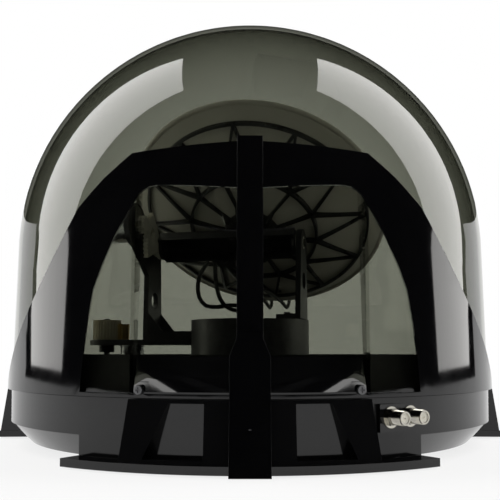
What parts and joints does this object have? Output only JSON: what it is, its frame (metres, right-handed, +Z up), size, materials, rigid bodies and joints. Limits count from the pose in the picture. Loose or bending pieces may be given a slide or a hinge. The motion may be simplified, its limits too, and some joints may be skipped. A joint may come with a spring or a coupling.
{
  "type": "domed satellite antenna",
  "caption": "Portable satellite dish under a smoked dome, on a tub with feet, an arched rear frame and a carrying handle, with motor-driven azimuth and elevation.",
  "frame": {"origin": "on the dome's upright axis, at the level that the feet stand on, centre of the roof screws' circle", "axes": "+Z up along the dome's axis, -Y towards the handle and the coaxial ports, +X to the right seen from the handle side"},
  "size_m": [0.4638, 0.455, 0.378],
  "materials": {
    "tub_plastic": "moulded gloss black, fine texture",
    "gloss_black": "piano-gloss black",
    "smoked_dome": "smoked see-through plastic",
    "rubber": "moulded",
    "brass": "turned",
    "screw_steel": "zinc plated",
    "port_nickel": "nickel plated brass",
    "insulator": "natural",
    "lead_sheath": "satin black sheath",
    "deck_plastic": "satin black",
    "machined_aluminium": "turned",
    "board": "solder mask",
    "chip": "epoxy",
    "tinned_steel": "tinned",
    "capacitor": "sleeved can",
    "acetal": "natural acetal",
    "mech_plastic": "glass-filled black",
    "bronze": "sintered bronze",
    "motor_can": "plated can",
    "ivory_gear": "ivory acetal",
    "dish_paint": "pale beige satin paint",
    "back_plastic": "dark ribbed moulding",
    "die_cast": "die cast, bead blasted",
    "cap_plastic": "ivory cap"
  },
  "bodies": {
    "base": {"base_tub": "tub_plastic", "foot_pads": "rubber", "roof_inserts": "brass", "radome": "smoked_dome", "dome_seal": "rubber", "dome_screws": "screw_steel", "rear_frame": "gloss_black", "frame_screws": "screw_steel", "carry_handle": "gloss_black", "handle_screws": "screw_steel", "coax_jacks": "port_nickel", "jack_nuts": "port_nickel", "jack_washers": "port_nickel", "jack_insulators": "insulator", "jack_leads": "lead_sheath", "deck": "deck_plastic", "deck_screws": "screw_steel", "ring_gear": "deck_plastic", "centre_post": "machined_aluminium", "post_leads": "lead_sheath", "control_board": "board", "board_standoffs": "brass", "board_screws": "screw_steel", "board_chips": "chip", "shield_can": "tinned_steel", "capacitors": "capacitor", "board_sockets": "insulator", "thrust_washer": "acetal", "retaining_ring": "screw_steel"},
    "azimuth_table": {"turntable": "mech_plastic", "turntable_bush": "bronze", "hub_grommet": "rubber", "left_yoke_arm": "mech_plastic", "right_yoke_arm": "mech_plastic", "yoke_screws": "screw_steel", "pivot_bushes": "acetal", "azimuth_motor": "motor_can", "elevation_motor": "motor_can", "drive_bush": "bronze", "loop_leads": "lead_sheath"},
    "drive_gear": {"drum_gear": "ivory_gear", "drive_shaft": "screw_steel"},
    "motor_gear": {"azimuth_pinion": "brass"},
    "tilt_gear": {"elevation_pinion": "acetal"},
    "dish": {"reflector": "dish_paint", "dish_back": "back_plastic", "dish_bracket": "mech_plastic", "bracket_screws": "screw_steel", "pivot_pins": "screw_steel", "sector_gear": "acetal", "feed_arm": "mech_plastic", "feed_screws": "screw_steel", "lnb_body": "die_cast", "feed_horn_cap": "cap_plastic", "lnb_ports": "port_nickel", "lnb_leads": "lead_sheath", "lead_clip": "mech_plastic"}
  },
  "joints": [
    {"name": "azimuth_turn", "type": "hinge", "parent": "base", "child": "azimuth_table", "pos_m": [0, 0, 0.08], "axis": [0, 0, 1], "range_deg": [-175, 175], "deforming": ["post_leads"]},
    {"name": "drive_gear_spin", "type": "hinge", "parent": "azimuth_table", "child": "drive_gear", "pos_m": [-0.14392, 0.03856, 0.095], "axis": [0, 0, 1], "range_deg": [-2185.8, 2185.8]},
    {"name": "azimuth_motor_spin", "type": "hinge", "parent": "azimuth_table", "child": "motor_gear", "pos_m": [-0.12654, 0.0339, 0.095], "axis": [0, 0, 1], "range_deg": [-5675, 5675]},
    {"name": "elevation_tilt", "type": "hinge", "parent": "azimuth_table", "child": "dish", "pos_m": [0, 0, 0.182], "axis": [0.9659, -0.2588, 0], "range_deg": [-20, 15], "deforming": ["loop_leads"]},
    {"name": "elevation_motor_spin", "type": "hinge", "parent": "azimuth_table", "child": "tilt_gear", "pos_m": [-0.09849, -0.01982, 0.19825], "axis": [0.9659, -0.2588, 0], "range_deg": [-111.7, 111.7]}
  ],
  "couplings": [
    {"joint": "drive_gear_spin", "follows": "azimuth_turn", "ratio": -12.462},
    {"joint": "azimuth_motor_spin", "follows": "azimuth_turn", "ratio": 32.4},
    {"joint": "elevation_motor_spin", "follows": "elevation_tilt", "ratio": -5.3333}
  ]
}
